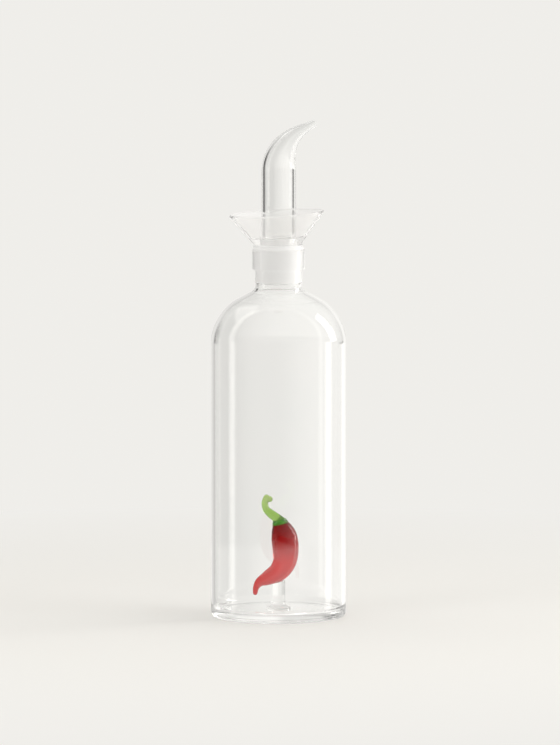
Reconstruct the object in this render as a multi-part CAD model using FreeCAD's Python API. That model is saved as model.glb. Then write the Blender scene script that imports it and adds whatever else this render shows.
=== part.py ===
"""Glass oil bottle with a glass chilli inside, a drip-catching stopper and a bent pouring spout.

Units are millimetres and +Z is up. The origin is the centre of the round base, on the table.
The spout and the chilli's curve lie in the XZ plane, and the spout pours towards +X.
"""
import FreeCAD, Part
import os
from math import cos, radians, sin, tan

V = FreeCAD.Vector
UP = V(0, 0, 1)

# ---- bottle ----
body_r = 35.0                # outer radius of the straight body
shoulder_z = 157.9           # height at which the wall and shoulder lines would cross
shoulder_slope_deg = 28.0    # rise of the shoulder towards the neck
shoulder_round = 25.0        # outer round between wall and shoulder
glass_t = 2.0                # thickness of wall and shoulder
floor_t = 4.0                # thickness of the base
heel_round = 2.5             # outer round at the table
floor_round = 3.0            # inner round between floor and wall
neck_bore_r = 10.5           # inner radius of the neck
neck_t = 1.7                 # thickness of the neck
neck_len = 21.0              # from the foot of the neck to the top of the lip
neck_foot_round = 3.0        # outer hollow round where the shoulder meets the neck
lip_out = 1.5                # how far the lip stands out from the neck
lip_h = 10.4                 # height of the lip band
lip_round = 0.7

# ---- post that carries the chilli, fused to the floor ----
post_r = 3.5
post_h = 12.6                # from the floor to where it meets the chilli's underside
post_sink = 4.0              # run of the post inside the chilli, trimmed away to fit it
post_foot_r = 6.2
post_foot_h = 1.2            # height of the foot's edge
post_round = 2.4             # hollow round between foot and post

# ---- glass chilli ----
# Centre line as (x, height above the post's top, radius), from the calyx down to the tail.
chilli_route = [
    (1.0, 31.5, 4.2),
    (1.8, 28.9, 5.6),
    (3.0, 24.5, 6.8),
    (3.7, 18.0, 6.8),
    (3.1, 11.7, 6.1),
    (-0.2, 6.6, 5.2),
    (-5.5, 3.4, 3.9),
    (-9.7, 1.2, 2.5),
    (-11.6, -1.6, 1.65),
    (-12.1, -4.4, 1.2),
]
calyx_lean_deg = 12.6        # lean of the chilli's top towards -X
calyx_out = 0.3              # how far the ring stands out over the chilli's top
calyx_top_r = 3.4            # ring's radius against the stem
calyx_h = 2.5
calyx_round = 0.5
# Centre line of the stem as (x, rise, radius), measured from the middle of the calyx's top.
stem_route = [
    (1.1, -1.6, 2.9),
    (-2.1, 1.2, 2.4),
    (-4.5, 3.0, 2.25),
    (-6.8, 5.3, 1.85),
    (-7.5, 8.5, 1.75),
    (-6.6, 11.2, 1.8),
]
stem_knob = (-5.0, 10.6, 1.6)    # ball that the tip curls over into

# ---- stopper: plug, collar and drip funnel in one piece ----
plug_depth = 17.7            # how far the plug reaches below the top of the lip
plug_round = 0.8             # at the plug's lower edge
collar_out = 2.6             # how far the collar stands out over the lip, from the plug
collar_h = 1.9
collar_round = 0.4
funnel_foot_out = 2.0        # how far the funnel's foot stands out from the plug
funnel_foot_h = 3.0          # from the lip to where the funnel begins to open
funnel_slope_deg = 51.5      # rise of the funnel's wall
funnel_flare = 11.9          # how much wider the rim's radius is than the foot's
funnel_t = 1.3
funnel_edge = 1.0            # height of the rim's upright edge
funnel_round = 4.0           # hollow round under the funnel
cup_floor_h = 6.4            # height of the funnel's floor above the lip
cup_round = 1.5
funnel_lean_deg = 3.0        # the soft funnel is bent a little askew, low on the -X side

# ---- spout: glass tube that bends over and narrows ----
tube_r = 9.0
tube_t = 1.9
tube_rise = 41.1             # straight length above the lip
bend_r = 23.8                # radius of the centre line's bend
bend_deg = 60.0
tip_len = 8.4                # straight run after the bend
tip_r = 2.1
tip_t = 0.9
taper_lead = 0.95            # under 1 the tube narrows sooner after the bend begins
bore_fit = 0.0               # the tube is a tight fit in the stopper, and the plug in the neck

# ---- how finely swept pieces are cut into sections ----
chilli_sections = 21
stem_sections = 17
spout_sections = 17

# ---- places that follow from the sizes ----
inner_r = body_r - glass_t
neck_r = neck_bore_r + neck_t
rise = tan(radians(shoulder_slope_deg))
shoulder_drop = glass_t / cos(radians(shoulder_slope_deg))
neck_z = shoulder_z + (body_r - neck_r) * rise
lip_z = neck_z + neck_len
plug_r = neck_bore_r - bore_fit
collar_r = plug_r + collar_out
funnel_foot_r = plug_r + funnel_foot_out
funnel_rim_r = funnel_foot_r + funnel_flare
plug_z = lip_z - plug_depth
post_top_z = floor_t + post_h


def corner_points(before, corner, after, size):
    """Start, middle and end of the round that replaces a corner of an outline."""
    into = (before - corner).normalize()
    out = (after - corner).normalize()
    half = into.getAngle(out) / 2
    reach = size / tan(half)
    middle = (into + out).normalize()
    bow = size / sin(half) - size
    return corner + into * reach, corner + middle * bow, corner + out * reach


def outline(corners):
    """Closed face in the XZ plane. Each corner is (r, z) or (r, z, round)."""
    places = [V(c[0], 0, c[1]) for c in corners]
    count = len(places)
    rounds = {}
    for i, corner in enumerate(corners):
        if len(corner) == 3:
            rounds[i] = corner_points(places[i - 1], places[i], places[(i + 1) % count], corner[2])
    edges = []
    for i in range(count):
        following = (i + 1) % count
        start = places[i]
        end = places[following]
        if i in rounds:
            edges.append(Part.Arc(*rounds[i]).toShape())
            start = rounds[i][2]
        if following in rounds:
            end = rounds[following][0]
        edges.append(Part.LineSegment(start, end).toShape())
    return Part.Face(Part.Wire(edges))


def turned(corners):
    """Solid of revolution about the Z axis."""
    return outline(corners).revolve(V(0, 0, 0), UP, 360)


def ring(centre, heading, radius):
    """Circular section of a swept piece."""
    return Part.Wire(Part.Circle(centre, heading, radius).toShape())


def swept(stations):
    """Solid through circular sections, each (centre, heading, radius)."""
    return Part.makeLoft([ring(*s) for s in stations], True, False)


def route_stations(route, origin, count):
    """Even stations on a smooth line through the route's centres and radii."""
    knots = [V(x, z, r) for x, z, r in route]
    line = Part.BSplineCurve()
    line.interpolate(knots)
    stations = []
    for place in line.discretize(count):
        slope = line.tangent(line.parameter(place))[0]
        heading = V(slope.x, 0, slope.y).normalize()
        stations.append((origin + V(place.x, 0, place.y), heading, place.z))
    return stations


def round_end(station):
    """Half ball that closes the end of a swept piece."""
    centre, heading, radius = station
    return Part.makeSphere(radius, centre, heading, 0, 90, 360)


def leaned(shape, degrees, pivot):
    """Turn a shape in the XZ plane, its top towards -X for a positive angle."""
    shape.rotate(pivot, V(0, 1, 0), -degrees)
    return shape


def make_bottle():
    """Body, shoulder, neck and lip, with the post fused to the floor."""
    lip_r = neck_r + lip_out
    inner_shoulder_z = shoulder_z + glass_t * rise - shoulder_drop
    inner_neck_z = inner_shoulder_z + (inner_r - neck_bore_r) * rise
    glass = turned([
        (0, 0),
        (body_r, 0, heel_round),
        (body_r, shoulder_z, shoulder_round),
        (neck_r, neck_z, neck_foot_round),
        (neck_r, lip_z - lip_h, lip_round),
        (lip_r, lip_z - lip_h, lip_round),
        (lip_r, lip_z, lip_round),
        (neck_bore_r, lip_z),
        (neck_bore_r, inner_neck_z, neck_foot_round + neck_t),
        (inner_r, inner_shoulder_z, shoulder_round - glass_t),
        (inner_r, floor_t, floor_round),
        (0, floor_t),
    ])
    inside_chilli_z = post_top_z + post_sink
    post = turned([
        (0, floor_t / 2),
        (post_foot_r, floor_t / 2),
        (post_foot_r, floor_t + post_foot_h, post_foot_h / 2),
        (post_r, floor_t + post_foot_h, post_round),
        (post_r, inside_chilli_z),
        (0, inside_chilli_z),
    ])
    return glass.fuse(post).removeSplitter()


def make_chilli():
    """Chilli's body, from the calyx down to the rounded tail."""
    stations = route_stations(chilli_route, V(0, 0, post_top_z), chilli_sections)
    lean = radians(calyx_lean_deg)
    stations[0] = (stations[0][0], V(sin(lean), 0, -cos(lean)), stations[0][2])
    return swept(stations).fuse(round_end(stations[-1])).removeSplitter()


def calyx_place():
    """Middle of the calyx's underside."""
    x, z, _ = chilli_route[0]
    return V(x, 0, post_top_z + z)


def make_calyx():
    """Ring between chilli and stem."""
    calyx_r = chilli_route[0][2] + calyx_out
    collar = turned([
        (0, 0),
        (calyx_r, 0, calyx_round),
        (calyx_top_r, calyx_h, calyx_round),
        (0, calyx_h),
    ])
    collar = leaned(collar, calyx_lean_deg, V(0, 0, 0))
    collar.translate(calyx_place())
    return collar


def make_stem():
    """Stem that curls over at its tip."""
    lean = radians(calyx_lean_deg)
    seat = calyx_place() + V(-sin(lean), 0, cos(lean)) * calyx_h
    stations = route_stations(stem_route, seat, stem_sections)
    x, z, radius = stem_knob
    knob = Part.makeSphere(radius, seat + V(x, 0, z))
    return swept(stations).fuse([round_end(stations[-1]), knob]).removeSplitter()


def make_stopper():
    """Plug in the neck, collar on the lip and funnel above, bored for the tube."""
    collar_z = lip_z + collar_h
    plug = turned([
        (0, plug_z),
        (plug_r, plug_z, plug_round),
        (plug_r, lip_z),
        (collar_r, lip_z, collar_round),
        (collar_r, collar_z, collar_round),
        (0, collar_z),
    ])
    foot_z = lip_z + funnel_foot_h
    slope = radians(funnel_slope_deg)
    rim_z = foot_z + funnel_flare * tan(slope)
    across = funnel_t / sin(slope)
    cup_z = lip_z + cup_floor_h
    cup_r = funnel_foot_r - across + (cup_z - foot_z) / tan(slope)
    brim_r = funnel_rim_r - across + funnel_edge / tan(slope)
    funnel = turned([
        (0, collar_z - collar_h / 2),
        (funnel_foot_r, collar_z - collar_h / 2),
        (funnel_foot_r, foot_z, funnel_round),
        (funnel_rim_r, rim_z, funnel_edge / 3),
        (funnel_rim_r, rim_z + funnel_edge, funnel_edge / 3),
        (brim_r, rim_z + funnel_edge, funnel_edge / 3),
        (cup_r, cup_z, cup_round),
        (0, cup_z),
    ])
    funnel = leaned(funnel, funnel_lean_deg, V(0, 0, lip_z))
    bore = Part.makeCylinder(tube_r + bore_fit, rim_z - plug_z, V(0, 0, plug_z))
    return plug.fuse(funnel).removeSplitter().cut(bore)


def spout_stations(straight_r, end_r, beyond):
    """Stations of the bend and the tip, with the radius easing from straight_r to end_r."""
    start_z = lip_z + tube_rise
    bend_len = radians(bend_deg) * bend_r
    whole = bend_len + tip_len
    stations = []
    for i in range(spout_sections):
        run = whole * i / (spout_sections - 1)
        turn = min(run / bend_r, radians(bend_deg))
        past = max(run - bend_len, 0)
        x = bend_r * (1 - cos(turn)) + past * sin(turn)
        z = start_z + bend_r * sin(turn) + past * cos(turn)
        share = (run / whole) ** taper_lead
        ease = share * share * (3 - 2 * share)
        heading = V(sin(turn), 0, cos(turn))
        stations.append((V(x, 0, z), heading, straight_r + (end_r - straight_r) * ease))
    centre, heading, radius = stations[-1]
    if beyond > 0:
        stations.append((centre + heading * beyond, heading, radius))
    return stations


def make_spout():
    """Glass tube from the plug's foot up through the funnel, bent over and drawn to a tip."""
    straight = lip_z + tube_rise - plug_z
    outside = Part.makeCylinder(tube_r, straight, V(0, 0, plug_z))
    outside = outside.fuse(swept(spout_stations(tube_r, tip_r, 0)))
    bore_r = tube_r - tube_t
    inside = Part.makeCylinder(bore_r, straight, V(0, 0, plug_z))
    inside = inside.fuse(swept(spout_stations(bore_r, tip_r - tip_t, 1.0)))
    return outside.cut(inside)


def single(shape):
    """The one solid that a shape holds."""
    solids = shape.Solids
    assert len(solids) == 1, "expected one solid, found %d" % len(solids)
    return solids[0]


def main():
    os.makedirs("parts", exist_ok=True)
    chilli = single(make_chilli())
    calyx = single(make_calyx())
    nodes = {
        "bottle": single(make_bottle().cut(chilli)),
        "chilli_body": chilli,
        "chilli_calyx": calyx,
        "chilli_stem": single(make_stem().cut(calyx.fuse(chilli))),
        "stopper": single(make_stopper()),
        "spout": single(make_spout()),
    }
    for name, solid in nodes.items():
        solid.exportStep("parts/%s.step" % name)
        box = solid.BoundBox
        print("%-13s valid %s  volume %9.1f  x %.2f %.2f  y %.2f %.2f  z %.2f %.2f" % (
            name, solid.isValid(), solid.Volume,
            box.XMin, box.XMax, box.YMin, box.YMax, box.ZMin, box.ZMax))


main()
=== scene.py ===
"""Glass oil bottle with a red glass chilli standing inside, a milky stopper that opens into a
drip funnel, and a bent glass spout.

Blender's lengths are in metres, +Z is up, and the spout pours towards +X. Sizes below are in
millimetres, and MM turns them into metres."""

from math import atan2, cos, hypot, pi, radians, sin, tan

import bpy
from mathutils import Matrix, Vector


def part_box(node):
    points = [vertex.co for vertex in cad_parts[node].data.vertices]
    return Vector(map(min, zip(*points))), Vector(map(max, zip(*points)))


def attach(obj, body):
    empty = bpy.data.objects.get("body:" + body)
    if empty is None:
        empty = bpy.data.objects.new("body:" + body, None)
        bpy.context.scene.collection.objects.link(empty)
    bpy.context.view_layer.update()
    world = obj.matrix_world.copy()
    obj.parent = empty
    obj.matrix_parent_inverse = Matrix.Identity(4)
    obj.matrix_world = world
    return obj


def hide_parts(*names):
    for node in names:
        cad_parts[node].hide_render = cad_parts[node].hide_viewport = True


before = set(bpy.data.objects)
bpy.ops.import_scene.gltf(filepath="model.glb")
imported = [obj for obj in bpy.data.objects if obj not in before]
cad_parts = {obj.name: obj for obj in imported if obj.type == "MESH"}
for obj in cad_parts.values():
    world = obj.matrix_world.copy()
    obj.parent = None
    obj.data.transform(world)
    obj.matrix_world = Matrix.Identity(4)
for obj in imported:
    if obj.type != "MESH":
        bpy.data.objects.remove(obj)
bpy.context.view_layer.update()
MM = 0.001

# ---- sizes, the same as the part's own ----
# bottle
BODY_R = 35.0
BASE_ROUND = 2.5
SHOULDER_Z = 157.9           # where the wall and shoulder lines would cross
SHOULDER_SLOPE = radians(28.0)
SHOULDER_ROUND = 25.0
INNER_SHOULDER_ROUND = 23.0
GLASS_T = 2.0
FLOOR_T = 4.0
FLOOR_ROUND = 3.0
NECK_R = 12.2
NECK_BORE_R = 10.5
NECK_LEN = 21.0
NECK_ROUND = 3.0
THROAT_ROUND = 4.7           # under the neck, on the inside
LIP_OUT = 1.5
LIP_H = 10.4
LIP_ROUND = 0.7

# post that carries the chilli
POST_R = 3.5
POST_TOP_Z = 16.6
POST_SUNK = 2.0              # the post runs this far up into the chilli
POST_FOOT_R = 6.2
POST_FOOT_H = 1.2
POST_FOOT_ROUND = 0.6
POST_ROUND = 2.4

# chilli
CHILLI_ROUTE = [             # (x, height above the post's top, radius)
    (1.0, 31.5, 4.2), (1.8, 28.9, 5.6), (3.0, 24.5, 6.8), (3.7, 18.0, 6.8), (3.1, 11.7, 6.1),
    (-0.2, 6.6, 5.2), (-5.5, 3.4, 3.9), (-9.7, 1.2, 2.5), (-11.6, -1.6, 1.65), (-12.1, -4.4, 1.2),
]
CALYX_LEAN = radians(12.6)
CALYX_OUT = 0.3              # past the chilli's top
CALYX_TOP_R = 3.4
CALYX_H = 2.5
CALYX_ROUND = 0.5
STEM_ROUTE = [               # (x, rise, radius) from the middle of the calyx's top
    (1.1, -1.6, 2.9), (-2.1, 1.2, 2.4), (-4.5, 3.0, 2.25), (-6.8, 5.3, 1.85), (-7.5, 8.5, 1.75),
    (-6.6, 11.2, 1.8),
]
STEM_KNOB = (-5.0, 10.6, 1.6)
STEM_GRAIN = 0.12            # size of the cells that melt the stem and its knob together

# stopper
SEAT = 0.05                  # soft pieces press this far into the glass that holds them
PLUG_ROUND = 0.8
COLLAR_OUT = 2.6             # past the neck's bore
COLLAR_H = 1.9
COLLAR_ROUNDS = (0.4, 0.35)  # at its foot and its top
FUNNEL_FOOT_OUT = 2.0        # past the neck's bore
FUNNEL_FOOT_H = 3.0
FUNNEL_FOOT_ROUND = 2.0
FUNNEL_SLOPE = radians(51.5)
FUNNEL_OUT = 11.9
FUNNEL_T = 1.3
FUNNEL_TILT = radians(3.0)   # the soft funnel sits a little askew
BRIM_H = 1.0
BRIM_ROUND = 0.3
CUP_H = 6.4                  # the funnel's floor above the lip
CUP_ROUND = 1.5
FUNNEL_FINISH_H = 2.5        # above the lip, where the clearer finish of the funnel begins

# spout
TUBE_R = 9.0
TUBE_T = 1.9
TUBE_RISE = 41.1
BEND_R = 23.8
BEND = radians(60.0)
TIP_LEN = 8.4
TIP_R = 2.1
TIP_T = 0.9
TAPER = 0.95                 # under 1, the tube begins to narrow sooner

RISE = tan(SHOULDER_SLOPE)
NECK_Z = SHOULDER_Z + (BODY_R - NECK_R) * RISE
LIP_Z = NECK_Z + NECK_LEN
PLUG_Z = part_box("stopper")[0].z / MM

SMALL_ROUND = 2.0            # rounds under this need few segments


# ---- modelling ----
def ready():
    """Back to object mode with nothing selected."""
    if bpy.context.object and bpy.context.object.mode != "OBJECT":
        bpy.ops.object.mode_set(mode="OBJECT")
    bpy.ops.object.select_all(action="DESELECT")


def add_ring(name, radius, place, turn=0.0, sides=128, filled=True):
    """A round primitive at its place, left in edit mode with all of it selected."""
    ready()
    bpy.ops.mesh.primitive_circle_add(
        vertices=sides, radius=radius * MM, fill_type="NGON" if filled else "NOTHING",
        location=Vector(place) * MM, rotation=(0, turn, 0))
    piece = bpy.context.object
    piece.name = name
    piece.data.name = name
    bpy.ops.object.transform_apply(location=True, rotation=True, scale=True)
    bpy.ops.object.mode_set(mode="EDIT")
    bpy.ops.mesh.select_all(action="SELECT")
    return piece


def draw_on(step, filled):
    """Draw what is selected on by a step: a filled end with its face, an open one by its edges."""
    if filled:
        bpy.ops.mesh.extrude_region_move(TRANSFORM_OT_translate={"value": step})
    else:
        bpy.ops.mesh.extrude_edges_move(TRANSFORM_OT_translate={"value": step})


def pick_ring(piece, radius, z, close=1e-3):
    """Select the edges of the level ring of that radius at that height."""
    bpy.ops.object.mode_set(mode="OBJECT")
    verts = piece.data.vertices
    on_ring = [abs(hypot(v.co.x, v.co.y) / MM - radius) < close and abs(v.co.z / MM - z) < close
               for v in verts]
    for part in (verts, piece.data.polygons):
        for each in part:
            each.select = False
    for edge in piece.data.edges:
        edge.select = all(on_ring[i] for i in edge.vertices)
    bpy.ops.object.mode_set(mode="EDIT")
    bpy.ops.mesh.select_mode(type="EDGE")


def turned(name, corners, sides=128, hollow=False):
    """A turned piece: a ring drawn through its corners, then bevelled where a corner has a round.

    Corners are (r, z) or (r, z, round). A solid piece starts and ends in flat round faces, and a
    hollow one closes on its own first ring."""
    at_r, at_z = corners[0][:2]
    piece = add_ring(name, at_r, (0, 0, at_z), sides=sides, filled=not hollow)
    for corner in corners[1:] + (corners[:1] if hollow else []):
        radius, z = corner[:2]
        draw_on((0, 0, (z - at_z) * MM), filled=not hollow)
        bpy.ops.transform.resize(value=(radius / at_r, radius / at_r, 1),
                                 center_override=(0, 0, z * MM))
        at_r, at_z = radius, z
    bpy.ops.mesh.select_all(action="SELECT")
    bpy.ops.mesh.remove_doubles(threshold=1e-7)
    bpy.ops.mesh.normals_make_consistent(inside=False)
    count = len(corners)
    for i, corner in enumerate(corners):
        if len(corner) < 3:
            continue
        r, z, size = corner
        before = corners[(i - 1) % count] if hollow or i else (0, z)
        after = corners[(i + 1) % count] if hollow or i < count - 1 else (0, z)
        into = Vector((before[0] - r, before[1] - z)).normalized()
        out = Vector((after[0] - r, after[1] - z)).normalized()
        half = into.angle(out) / 2
        pick_ring(piece, r, z)
        bpy.ops.mesh.bevel(
            offset=size / tan(half) * MM, offset_type="OFFSET",
            segments=8 if size < SMALL_ROUND else 20, profile=0.5, affect="EDGES",
            clamp_overlap=False, loop_slide=False)
    return piece


def change(piece, kind, **settings):
    """Add a modifier with its settings to the active piece and apply it."""
    bpy.ops.object.modifier_add(type=kind)
    modifier = piece.modifiers[-1]
    for key, value in settings.items():
        setattr(modifier, key, value)
    bpy.ops.object.modifier_apply(modifier=modifier.name)


def finished(piece, sharp_deg=40):
    """Smooth faces with even normals, sharp where the piece has an edge, and all of it outwards."""
    bpy.ops.object.mode_set(mode="EDIT")
    bpy.ops.mesh.select_all(action="SELECT")
    bpy.ops.mesh.normals_make_consistent(inside=False)
    ready()
    piece.select_set(True)
    bpy.context.view_layer.objects.active = piece
    bpy.ops.object.shade_smooth_by_angle(angle=radians(sharp_deg))
    change(piece, "WEIGHTED_NORMAL", weight=100, keep_sharp=True)
    return piece


def even_route(route, steps):
    """Points (x, z, radius) on a smooth line through the route's own, steps to each run."""
    ends = [tuple(2 * a - b for a, b in zip(route[0], route[1])),
            tuple(2 * a - b for a, b in zip(route[-1], route[-2]))]
    knots = [ends[0]] + list(route) + [ends[1]]
    line = []
    for i in range(1, len(knots) - 2):
        p, q, r, s = (Vector(k) for k in knots[i - 1:i + 3])
        for j in range(steps):
            t = j / steps
            curve = (r - p) + t * ((2 * p - 5 * q + 4 * r - s) + t * (3 * q - p - 3 * r + s))
            line.append(q + 0.5 * t * curve)
    line.append(Vector(knots[-2]))
    return line


def headed(line):
    """Stations (x, z, turn, radius) along a line of (x, z, radius), turn being the lean to +X."""
    stations = []
    for i, point in enumerate(line):
        ahead = line[min(i + 1, len(line) - 1)] - line[max(i - 1, 0)]
        stations.append((point[0], point[1], atan2(ahead[0], ahead[1]), point[2]))
    return stations


def ball_end(station, steps=8):
    """Stations that close a swept piece in a half ball."""
    x, z, turn, radius = station
    ends = []
    for i in range(1, steps + 1):
        along = pi / 2 * i / (steps + 0.3)
        reach = radius * sin(along)
        ends.append((x + reach * sin(turn), z + reach * cos(turn), turn, radius * cos(along)))
    return ends


def swept(name, stations, sides=64, origin=(0, 0), filled=True):
    """A ring drawn along its stations, turned and scaled at each."""
    ox, oz = origin
    x, z, turn, radius = stations[0]
    piece = add_ring(name, radius, (ox + x, 0, oz + z), turn, sides, filled)
    for nx, nz, nturn, nradius in stations[1:]:
        draw_on(Vector((nx - x, 0, nz - z)) * MM, filled)
        middle = Vector((ox + nx, 0, oz + nz)) * MM
        lean = (nturn - turn + pi) % (2 * pi) - pi
        bpy.ops.transform.rotate(value=-lean, orient_axis="Y", center_override=middle)
        k = nradius / radius
        bpy.ops.transform.resize(value=(k, k, k), center_override=middle)
        x, z, turn, radius = nx, nz, nturn, nradius
    return piece


def joined(pieces):
    """One mesh of several, under the first one's name."""
    ready()
    for piece in pieces:
        piece.select_set(True)
    bpy.context.view_layer.objects.active = pieces[0]
    bpy.ops.object.join()
    return pieces[0]


def make_bottle():
    """Wall, shoulder, neck, lip and floor, with the post that carries the chilli, in one mesh."""
    lip_r = NECK_R + LIP_OUT
    inner_r = BODY_R - GLASS_T
    inner_shoulder_z = SHOULDER_Z + GLASS_T * RISE - GLASS_T / cos(SHOULDER_SLOPE)
    inner_neck_z = inner_shoulder_z + (inner_r - NECK_BORE_R) * RISE
    bottle = turned("oil_bottle", [
        (BODY_R, 0, BASE_ROUND),
        (BODY_R, SHOULDER_Z, SHOULDER_ROUND),
        (NECK_R, NECK_Z, NECK_ROUND),
        (NECK_R, LIP_Z - LIP_H, LIP_ROUND),
        (lip_r, LIP_Z - LIP_H, LIP_ROUND),
        (lip_r, LIP_Z, LIP_ROUND),
        (NECK_BORE_R, LIP_Z),
        (NECK_BORE_R, inner_neck_z, THROAT_ROUND),
        (inner_r, inner_shoulder_z, INNER_SHOULDER_ROUND),
        (inner_r, FLOOR_T, FLOOR_ROUND),
        (POST_FOOT_R, FLOOR_T),
        (POST_FOOT_R, FLOOR_T + POST_FOOT_H, POST_FOOT_ROUND),
        (POST_R, FLOOR_T + POST_FOOT_H, POST_ROUND),
        (POST_R, POST_TOP_Z + POST_SUNK),
    ], sides=192)
    return finished(bottle)


def make_chilli():
    """Glossy body of the chilli, from the calyx down to its rounded tail."""
    stations = headed(even_route(CHILLI_ROUTE, steps=8))
    stations[0] = stations[0][:2] + (pi - CALYX_LEAN,) + stations[0][3:]
    stations += ball_end(stations[-1])
    chilli = swept("chilli_glass", stations, sides=96, origin=(0, POST_TOP_Z))
    return finished(chilli, sharp_deg=60)


def tip_back(angle, pivot):
    """Turn what is selected in edit mode about Y, its top towards -X."""
    bpy.ops.transform.rotate(value=angle, orient_axis="Y", center_override=Vector(pivot) * MM)


def make_calyx():
    """Green ring between chilli and stem."""
    x, z, chilli_r = CHILLI_ROUTE[0]
    ring = turned("calyx_ring", [
        (chilli_r + CALYX_OUT, 0, CALYX_ROUND),
        (CALYX_TOP_R, CALYX_H, CALYX_ROUND),
    ], sides=96)
    bpy.ops.mesh.select_all(action="SELECT")
    tip_back(CALYX_LEAN, (0, 0, 0))
    bpy.ops.transform.translate(value=Vector((x, 0, POST_TOP_Z + z)) * MM)
    return finished(ring)


def make_stem():
    """Pale stem that curls over at its tip, melted into one skin."""
    x, z, _ = CHILLI_ROUTE[0]
    seat = (x - sin(CALYX_LEAN) * CALYX_H, POST_TOP_Z + z + cos(CALYX_LEAN) * CALYX_H)
    stations = headed(even_route(STEM_ROUTE, steps=8))
    stations += ball_end(stations[-1])
    stem = swept("chilli_stem_glass", stations, sides=48, origin=seat)
    ready()
    knob_x, knob_rise, knob_r = STEM_KNOB
    bpy.ops.mesh.primitive_ico_sphere_add(
        subdivisions=5, radius=knob_r * MM,
        location=Vector((seat[0] + knob_x, 0, seat[1] + knob_rise)) * MM)
    stem = joined([stem, bpy.context.object])
    bpy.ops.object.transform_apply(location=True, rotation=True, scale=True)
    change(stem, "REMESH", mode="VOXEL", voxel_size=STEM_GRAIN * MM)
    change(stem, "SMOOTH", factor=0.5, iterations=12)
    return finished(stem, sharp_deg=80)


def make_stopper():
    """Plug, collar and funnel in one soft piece, with a bore for the tube."""
    plug_r = NECK_BORE_R + SEAT
    bore_r = TUBE_R - SEAT
    collar_r = NECK_BORE_R + COLLAR_OUT
    collar_z = LIP_Z + COLLAR_H
    foot_r = NECK_BORE_R + FUNNEL_FOOT_OUT
    foot_z = LIP_Z + FUNNEL_FOOT_H
    rim_r = foot_r + FUNNEL_OUT
    rim_z = foot_z + FUNNEL_OUT * tan(FUNNEL_SLOPE)
    brim_z = rim_z + BRIM_H
    cup_z = LIP_Z + CUP_H
    across = FUNNEL_T / sin(FUNNEL_SLOPE)
    cup_r = foot_r - across + (cup_z - foot_z) / tan(FUNNEL_SLOPE)
    brim_r = rim_r - across + BRIM_H / tan(FUNNEL_SLOPE)
    stopper = turned("stopper_funnel", [
        (bore_r, PLUG_Z),
        (plug_r, PLUG_Z, PLUG_ROUND),
        (plug_r, LIP_Z - SEAT),
        (collar_r, LIP_Z - SEAT, COLLAR_ROUNDS[0]),
        (collar_r, collar_z, COLLAR_ROUNDS[1]),
        (foot_r, collar_z),
        (foot_r, foot_z, FUNNEL_FOOT_ROUND),
        (rim_r, rim_z, BRIM_ROUND),
        (rim_r, brim_z, BRIM_ROUND),
        (brim_r, brim_z, BRIM_ROUND),
        (cup_r, cup_z, CUP_ROUND),
        (bore_r, cup_z),
    ], sides=160, hollow=True)
    # The funnel tips back, and the collar under it and the bore stay upright.
    bpy.ops.object.mode_set(mode="OBJECT")
    above, outside = foot_z - 0.5, bore_r + 0.3
    verts = stopper.data.vertices
    for v in verts:
        v.select = v.co.z / MM > above and hypot(v.co.x, v.co.y) / MM > outside
    for part in (stopper.data.edges, stopper.data.polygons):
        for each in part:
            each.select = all(verts[i].select for i in each.vertices)
    bpy.ops.object.mode_set(mode="EDIT")
    tip_back(FUNNEL_TILT, (0, 0, LIP_Z))
    return finished(stopper)


def spout_stations(straight_r, end_r, steps=72):
    """Stations of the straight run, the bend and the tip, narrowing after the bend begins."""
    start_z = LIP_Z + TUBE_RISE
    straight_end_z = start_z - 1
    stations = [(0, PLUG_Z, 0, straight_r), (0, straight_end_z, 0, straight_r)]
    bend_len = BEND * BEND_R
    whole = bend_len + TIP_LEN
    for i in range(steps + 1):
        run = whole * i / steps
        turn = min(run / BEND_R, BEND)
        past = max(run - bend_len, 0)
        share = (run / whole) ** TAPER
        ease = share * share * (3 - 2 * share)
        stations.append((BEND_R * (1 - cos(turn)) + past * sin(turn),
                         start_z + BEND_R * sin(turn) + past * cos(turn),
                         turn, straight_r + (end_r - straight_r) * ease))
    return stations


def make_spout():
    """Glass tube: a ring is drawn up the outer wall, over the tip and back down the bore."""
    outer = spout_stations(TUBE_R, TIP_R)
    bore = spout_stations(TUBE_R - TUBE_T, TIP_R - TIP_T)
    spout = swept("pouring_spout", outer + bore[::-1] + outer[:1], sides=128, filled=False)
    bpy.ops.mesh.select_all(action="SELECT")
    bpy.ops.mesh.remove_doubles(threshold=1e-6)
    return finished(spout)


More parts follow.
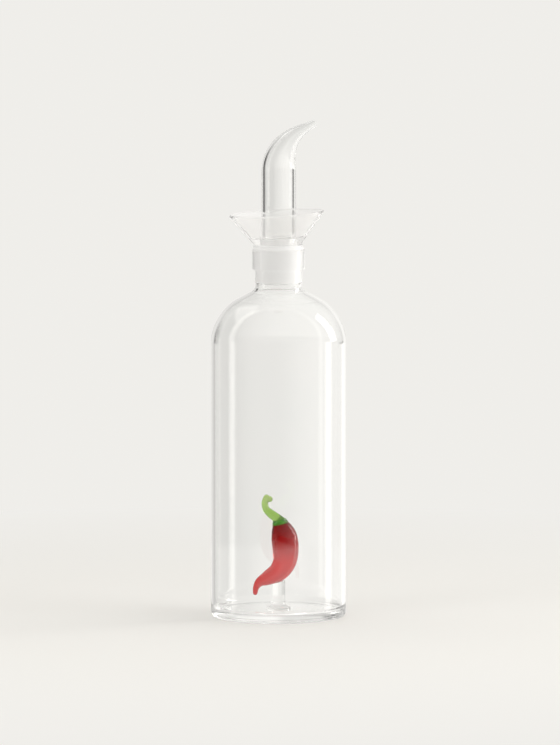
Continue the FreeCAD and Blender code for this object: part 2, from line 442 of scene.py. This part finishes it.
# ---- finishes ----
class Finish:
    """A material's node tree, built one node at a time."""

    def __init__(self, name):
        self.material = bpy.data.materials.new(name)
        self.material.use_nodes = True
        self.nodes = self.material.node_tree.nodes
        self.links = self.material.node_tree.links
        self.shader = self.nodes["Principled BSDF"]
        self.place = self.add("ShaderNodeTexCoord").outputs["Object"]

    def set_stuff(self, clear, roughness, bend):
        """How clear and how rough the stuff is, and how much it bends light."""
        self.shader.inputs["Transmission Weight"].default_value = clear
        self.shader.inputs["Roughness"].default_value = roughness
        self.shader.inputs["IOR"].default_value = bend

    def add(self, kind, **settings):
        """A node with its settings and unlinked values."""
        node = self.nodes.new(kind)
        for key, value in settings.items():
            setattr(node, key, value)
        return node

    def join(self, source, node, socket):
        """Link a node's output to a socket."""
        self.links.new(source, node.inputs[socket])

    def cloud(self, size_mm, detail=3.0, stretch=(1, 1, 1)):
        """Soft noise whose patches are about that size."""
        spread = self.add("ShaderNodeMapping")
        spread.inputs["Scale"].default_value = stretch
        self.join(self.place, spread, "Vector")
        noise = self.add("ShaderNodeTexNoise")
        noise.inputs["Scale"].default_value = 1 / (size_mm * MM)
        noise.inputs["Detail"].default_value = detail
        self.join(spread.outputs[0], noise, "Vector")
        return noise.outputs["Fac"]

    def ramp(self, source, *stops):
        """Colours along a value, as (place, colour)."""
        ramp = self.add("ShaderNodeValToRGB")
        line = ramp.color_ramp.elements
        while len(line) < len(stops):
            line.new(1.0)
        for element, (at, colour) in zip(line, stops):
            element.position = at
            element.color = (*colour, 1)
        self.join(source, ramp, "Fac")
        return ramp.outputs["Color"]

    def waves(self, source, depth_mm):
        """Bump of that depth on the shader."""
        bump = self.add("ShaderNodeBump")
        bump.inputs["Strength"].default_value = 1.0
        bump.inputs["Distance"].default_value = depth_mm * MM
        self.join(source, bump, "Height")
        self.join(bump.outputs["Normal"], self.shader, "Normal")

    def pass_lamps(self, share):
        """Let that share of the light on other things straight through, as clear glass does."""
        clear = self.add("ShaderNodeBsdfTransparent")
        clear.inputs["Color"].default_value = (share, share, share, 1)
        either = self.add("ShaderNodeMixShader")
        path = self.add("ShaderNodeLightPath")
        lighting = self.add("ShaderNodeMath", operation="MAXIMUM")
        self.join(path.outputs["Is Shadow Ray"], lighting, 0)
        self.join(path.outputs["Is Diffuse Ray"], lighting, 1)
        self.join(lighting.outputs[0], either, 0)
        self.join(self.shader.outputs[0], either, 1)
        self.join(clear.outputs[0], either, 2)
        self.join(either.outputs[0], self.nodes["Material Output"], "Surface")

    def wear(self, piece):
        """Put this finish on a piece."""
        piece.data.materials.clear()
        piece.data.materials.append(self.material)


def make_clear_glass(name, low, high):
    """Clear glass with a faint tint that drifts a little, and a slightly wavy skin."""
    glass = Finish(name)
    glass.set_stuff(clear=1.0, roughness=0.0, bend=1.47)
    tint = glass.ramp(glass.cloud(40.0), (0.35, low), (0.65, high))
    glass.join(tint, glass.shader, "Base Color")
    glass.waves(glass.cloud(18.0, detail=1.0), depth_mm=0.002)
    glass.pass_lamps(share=0.94)
    return glass


def make_coloured_glass(name, clear, deep, lower_colour, span_mm, drift_mm=8.0):
    """Coloured glass that runs in soft streaks from deep, above a span of heights, to the lower
    colour. On the chilli, the deep top is painted shade and the brighter lower part is painted
    light.
    """
    glass = Finish(name)
    glass.set_stuff(clear=clear, roughness=0.0, bend=1.5)
    split = glass.add("ShaderNodeSeparateXYZ")
    glass.join(glass.place, split, 0)
    drift = glass.add("ShaderNodeMath", operation="MULTIPLY_ADD")
    drift.inputs[1].default_value = drift_mm * MM
    glass.join(glass.cloud(6.0, detail=2.0, stretch=(1, 1, 0.35)), drift, 0)
    glass.join(split.outputs["Z"], drift, 2)
    height = glass.add("ShaderNodeMapRange")
    height.inputs["From Min"].default_value = (span_mm[0] + drift_mm / 2) * MM
    height.inputs["From Max"].default_value = (span_mm[1] + drift_mm / 2) * MM
    glass.join(drift.outputs[0], height, "Value")
    # Deep colour above the span and the lower colour below it: on the chilli, painted shade at the
    # top and painted light lower down.
    colour = glass.ramp(height.outputs[0], (0.0, lower_colour), (1.0, deep))
    glass.join(colour, glass.shader, "Base Color")
    glass.waves(glass.cloud(5.0, detail=1.0), depth_mm=0.006)
    return glass


def make_soft_plastic(name, clear, roughness, bend, low, high):
    """Soft plastic that is milky as far as it isn't clear, with a faint drift in its white."""
    soft = Finish(name)
    soft.set_stuff(clear, roughness, bend)
    soft.join(soft.ramp(soft.cloud(9.0), (0.3, low), (0.7, high)), soft.shader, "Base Color")
    soft.waves(soft.cloud(3.0, detail=2.0), depth_mm=0.003)
    soft.pass_lamps(share=0.90)
    return soft


# ---- room, in metres and watts ----
PALE = (0.867, 0.855, 0.823)          # backdrop and table
ROOM_TINT = (1.0, 0.985, 0.955)       # of all that glass shows and that lights the piece

CAMERA_PLACE = (0, -4.0, 0.510)
CAMERA_AIM = (0, 0, 0.127)
CAMERA_LENS_MM = 374.9
CAMERA_SHIFT = 0.0020

LAMPS = (                             # name, place, aim, size, power
    ("lamp_right", (1.7, -0.5, 0.8), (0, 0, 0.12), 1.2, 20),
    ("lamp_left", (-1.3, -1.1, 0.45), (0, 0, 0.15), 0.8, 12),
    ("lamp_top", (0.0, 0.2, 2.4), (0, 0, 0.1), 1.8, 3),
)

BOUNCES = 128                         # fewer leave dark spots where glass meets glass

TABLE_REACH = 3.0
TABLE_FADE = (0.18, 0.50)             # the table turns into the backdrop between these

# The room that glass shows, as levels of light. Directions are degrees round from the front,
# + to the right, and degrees of lift above level.
WALLS = (
    (-180, 0.94), (-178.5, 0.87), (-176.5, 0.76), (-153, 0.80), (-144, 0.05), (-132, 0.05),
    (-124, 0.45), (-60, 0.10), (-30, 0.04), (2, 0.05), (14, 0.18), (28, 0.45), (60, 0.75),
    (124, 1.00), (131, 0.15), (145, 0.10), (153, 0.95), (176.5, 1.00), (178.5, 0.97), (180, 0.94),
)
TABLE = (
    (-180, 0.85), (-176.5, 0.84), (-168, 0.84), (-150, 0.60), (-124, 0.50), (-100, 0.25),
    (-60, 0.45), (-30, 0.95), (0, 1.15), (30, 1.20), (60, 0.80), (100, 0.80), (124, 1.00),
    (150, 1.10), (176.5, 1.00), (180, 0.85),
)
TABLE_EDGE = -6.75                    # lift of the table's far edge
TABLE_EDGE_SOFT = 0.04
CORNER = (122.0, 158.0, 8.0)          # from, to, softness, each side of the backdrop
CORNER_RAISE = 1.97                   # how far the table's edge is up in the corners
RIGHT_CORNER_LIGHT = 0.75             # of a pale screen that stands in the right corner
RIGHT_CORNER_LIFT = (-3.6, -2.6)      # where the screen's lower edge fades in
CEILING_LIFT = (6.0, 20.0)            # the walls run into the ceiling between these
CEILING = 0.42
CEILING_BACK = 0.3                    # more, towards the back
CEILING_BACK_TURN = (90.0, 140.0)
CEILING_ACROSS = 0.25                 # more on the right and less on the left
UNDER_LIFT = (-7.5, -8.0)             # the near table, below these
UNDER = 0.88
UNDER_ACROSS = 0.15                   # more on the right and less on the left
SCREENS = (                           # (from, to, softness) round, the same in lift, added level
    ((-140.0, -104.0, 8.0), (38.0, 60.0, 6.0), 0.9),
    ((90.5, 103.0, 2.5), (-90.0, 3.0, 1.0), 1.9),
    ((105.0, 117.0, 1.5), (4.0, 42.0, 2.0), 7.0),
    ((-88.5, -80.5, 2.0), (-90.0, 3.0, 1.0), 0.9),
)


def aimed(place, aim):
    """The turn that points a camera or lamp from its place at a spot."""
    return (Vector(aim) - Vector(place)).to_track_quat("-Z", "Y").to_euler()


def make_camera():
    """Long lens a little above the table, square to the plane of the spout's bend."""
    ready()
    bpy.ops.object.camera_add(location=CAMERA_PLACE)
    camera = bpy.context.object
    camera.name = "camera"
    camera.rotation_euler = aimed(CAMERA_PLACE, CAMERA_AIM)
    camera.data.lens = CAMERA_LENS_MM
    camera.data.sensor_width = 36.0
    camera.data.shift_x = CAMERA_SHIFT
    camera.data.clip_end = 100.0
    bpy.context.scene.camera = camera


class Sky:
    """The room's node tree, which gives a level of light for each direction."""

    def __init__(self, world):
        world.use_nodes = True
        self.nodes = world.node_tree.nodes
        self.links = world.node_tree.links
        self.nodes.clear()

    def put(self, node, socket, value):
        """Link an output to a socket, or set it to a value."""
        if isinstance(value, bpy.types.NodeSocket):
            self.links.new(value, node.inputs[socket])
        else:
            node.inputs[socket].default_value = value

    def math(self, operation, first, second=0.0):
        """One operation on two values."""
        node = self.nodes.new("ShaderNodeMath")
        node.operation = operation
        self.put(node, 0, first)
        self.put(node, 1, second)
        return node.outputs[0]

    def times(self, first, second):
        """The product of two values."""
        return self.math("MULTIPLY", first, second)

    def plus(self, first, second):
        """The sum of two values."""
        return self.math("ADD", first, second)

    def over(self, share, below, above):
        """The value above where share is 1, the value below elsewhere."""
        return self.plus(self.times(below, self.math("SUBTRACT", 1.0, share)),
                         self.times(share, above))

    def step(self, value, start, end):
        """Smooth step from 0 at start to 1 at end."""
        node = self.nodes.new("ShaderNodeMapRange")
        node.interpolation_type = "SMOOTHSTEP"
        self.put(node, "Value", value)
        node.inputs["From Min"].default_value = start
        node.inputs["From Max"].default_value = end
        return node.outputs[0]

    def between(self, value, low, high, soft):
        """1 between low and high, falling to 0 over soft on each side."""
        return self.times(self.step(value, low - soft, low), self.step(value, high + soft, high))

    def along(self, value, stops):
        """A grey level that runs from stop to stop, as (value, level)."""
        low, high = stops[0][0], stops[-1][0]
        share = self.nodes.new("ShaderNodeMapRange")
        self.put(share, "Value", value)
        share.inputs["From Min"].default_value = low
        share.inputs["From Max"].default_value = high
        ramp = self.nodes.new("ShaderNodeValToRGB")
        line = ramp.color_ramp.elements
        while len(line) < len(stops):
            line.new(1.0)
        for element, (at, level) in zip(line, stops):
            element.position = (at - low) / (high - low)
            element.color = (level, level, level, 1)
        self.put(ramp, "Fac", share.outputs[0])
        return ramp.outputs["Color"]

    def glow(self, colour, strength):
        """A background of that colour."""
        node = self.nodes.new("ShaderNodeBackground")
        self.put(node, "Color", colour)
        self.put(node, "Strength", strength)
        return node.outputs[0]

    def either(self, share, first, second):
        """The second shader where share is 1, the first elsewhere."""
        node = self.nodes.new("ShaderNodeMixShader")
        self.put(node, 0, share)
        self.put(node, 1, first)
        self.put(node, 2, second)
        return node.outputs[0]


def make_world():
    """Pale room for glass to show, plain to the eye: bright on the right, dim on the left, with
    dark corners each side of the backdrop and lit screens at the sides."""
    world = bpy.data.worlds.new("room")
    bpy.context.scene.world = world
    sky = Sky(world)
    out = sky.nodes.new("ShaderNodeOutputWorld")
    where = sky.nodes.new("ShaderNodeSeparateXYZ")
    sky.put(where, 0, sky.nodes.new("ShaderNodeTexCoord").outputs["Generated"])
    across, deep, up = where.outputs
    turn = sky.times(sky.math("ARCTAN2", across, sky.times(deep, -1.0)), 180 / pi)
    lift = sky.times(sky.math("ARCSINE", up), 180 / pi)
    either_side = sky.math("ABSOLUTE", turn)

    screen = sky.times(sky.between(turn, *CORNER), sky.step(lift, *RIGHT_CORNER_LIFT))
    walls = sky.math("MAXIMUM", sky.along(turn, WALLS), sky.times(screen, RIGHT_CORNER_LIGHT))
    corners = sky.times(sky.between(either_side, *CORNER), CORNER_RAISE)
    below = sky.step(sky.math("SUBTRACT", lift, corners),
                     TABLE_EDGE + TABLE_EDGE_SOFT, TABLE_EDGE - TABLE_EDGE_SOFT)
    level = sky.over(below, walls, sky.along(turn, TABLE))

    ceiling = sky.plus(CEILING, sky.times(sky.step(either_side, *CEILING_BACK_TURN), CEILING_BACK))
    ceiling = sky.plus(ceiling, sky.times(across, CEILING_ACROSS))
    level = sky.over(sky.step(lift, *CEILING_LIFT), level, ceiling)
    near_table = sky.plus(UNDER, sky.times(across, UNDER_ACROSS))
    level = sky.over(sky.step(lift, *UNDER_LIFT), level, near_table)
    for turn_span, lift_span, added in SCREENS:
        lit = sky.times(sky.between(turn, *turn_span), sky.between(lift, *lift_span))
        level = sky.plus(level, sky.times(lit, added))

    path = sky.nodes.new("ShaderNodeLightPath")
    shown = sky.either(path.outputs["Is Camera Ray"], sky.glow((*ROOM_TINT, 1), level),
                       sky.glow((*PALE, 1), 1.0))
    sky.put(out, "Surface", shown)


def make_floor():
    """Pale table that runs out into the backdrop's own colour."""
    ready()
    bpy.ops.mesh.primitive_circle_add(vertices=96, radius=TABLE_REACH, fill_type="NGON")
    floor = bpy.context.object
    floor.name = "table"
    table = Finish("pale_table")
    table.shader.inputs["Base Color"].default_value = (*PALE, 1)
    table.shader.inputs["Roughness"].default_value = 0.8
    table.shader.inputs["Specular IOR Level"].default_value = 0.1
    far = table.add("ShaderNodeVectorMath", operation="LENGTH")
    table.join(table.place, far, 0)
    fade = table.add("ShaderNodeMapRange")
    fade.inputs["From Min"].default_value, fade.inputs["From Max"].default_value = TABLE_FADE
    table.join(far.outputs["Value"], fade, "Value")
    glow = table.add("ShaderNodeEmission")
    glow.inputs["Color"].default_value = (*PALE, 1)
    blend = table.add("ShaderNodeMixShader")
    table.join(fade.outputs[0], blend, 0)
    table.join(table.shader.outputs[0], blend, 1)
    table.join(glow.outputs[0], blend, 2)
    table.join(blend.outputs[0], table.nodes["Material Output"], "Surface")
    table.wear(floor)
    floor.visible_glossy = False
    floor.visible_transmission = False


def add_lamp(name, place, aim, size, power):
    """A soft square lamp that faces a spot and isn't seen in the glass."""
    ready()
    bpy.ops.object.light_add(type="AREA", location=place)
    lamp = bpy.context.object
    lamp.name = name
    lamp.data.size = size
    lamp.data.energy = power
    lamp.rotation_euler = aimed(place, aim)
    lamp.visible_camera = False
    lamp.visible_glossy = False
    lamp.visible_transmission = False


make_camera()
make_world()
make_floor()
for lamp_row in LAMPS:
    add_lamp(*lamp_row)

clear_glass = make_clear_glass(
    "clear_glass", low=(0.985, 0.99, 0.985), high=(0.995, 0.995, 0.99))
spout_glass = make_clear_glass(
    "spout_glass", low=(0.98, 0.985, 0.98), high=(0.995, 0.995, 0.99))
# The chilli's deep red top is painted shade and its brighter lower part is painted light, standing
# in for how light falls on it.
red_glass = make_coloured_glass(
    "red_glass", clear=0.55,
    deep=(0.27, 0.001, 0.002), lower_colour=(0.84, 0.025, 0.022), span_mm=(28.0, 46.0))
green_glass = make_coloured_glass(
    "green_glass", clear=0.85,
    deep=(0.07, 0.36, 0.03), lower_colour=(0.20, 0.60, 0.08), span_mm=(50.0, 56.0))
pale_green_glass = make_coloured_glass(
    "pale_green_glass", clear=0.82,
    deep=(0.66, 0.80, 0.36), lower_colour=(0.44, 0.70, 0.16), span_mm=(55.0, 66.0))
funnel_plastic = make_soft_plastic(
    "funnel_plastic", clear=0.82, roughness=0.01, bend=1.08,
    low=(0.97, 0.965, 0.96), high=(0.985, 0.98, 0.975))
plug_plastic = make_soft_plastic(
    "plug_plastic", clear=0.47, roughness=0.3, bend=1.3,
    low=(0.98, 0.975, 0.965), high=(0.99, 0.985, 0.98))

for piece, node, slot, finish in (
    (make_bottle(), "bottle", "clear_glass", clear_glass),
    (make_chilli(), "chilli_body", "red_glass", red_glass),
    (make_calyx(), "chilli_calyx", "green_glass", green_glass),
    (make_stem(), "chilli_stem", "pale_green_glass", pale_green_glass),
    (make_stopper(), "stopper", "milky_plastic", funnel_plastic),
    (make_spout(), "spout", "spout_glass", spout_glass),
):
    finish.wear(piece)
    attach(piece, "root")
    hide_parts(node)
    if node == "stopper":
        piece.data.materials.append(plug_plastic.material)
        for face in piece.data.polygons:
            face.material_index = int(face.center.z < (LIP_Z + FUNNEL_FINISH_H) * MM)
ready()

scene = bpy.context.scene
scene.view_settings.view_transform = "Standard"
scene.cycles.max_bounces = BOUNCES
scene.cycles.transmission_bounces = BOUNCES
scene.cycles.glossy_bounces = BOUNCES
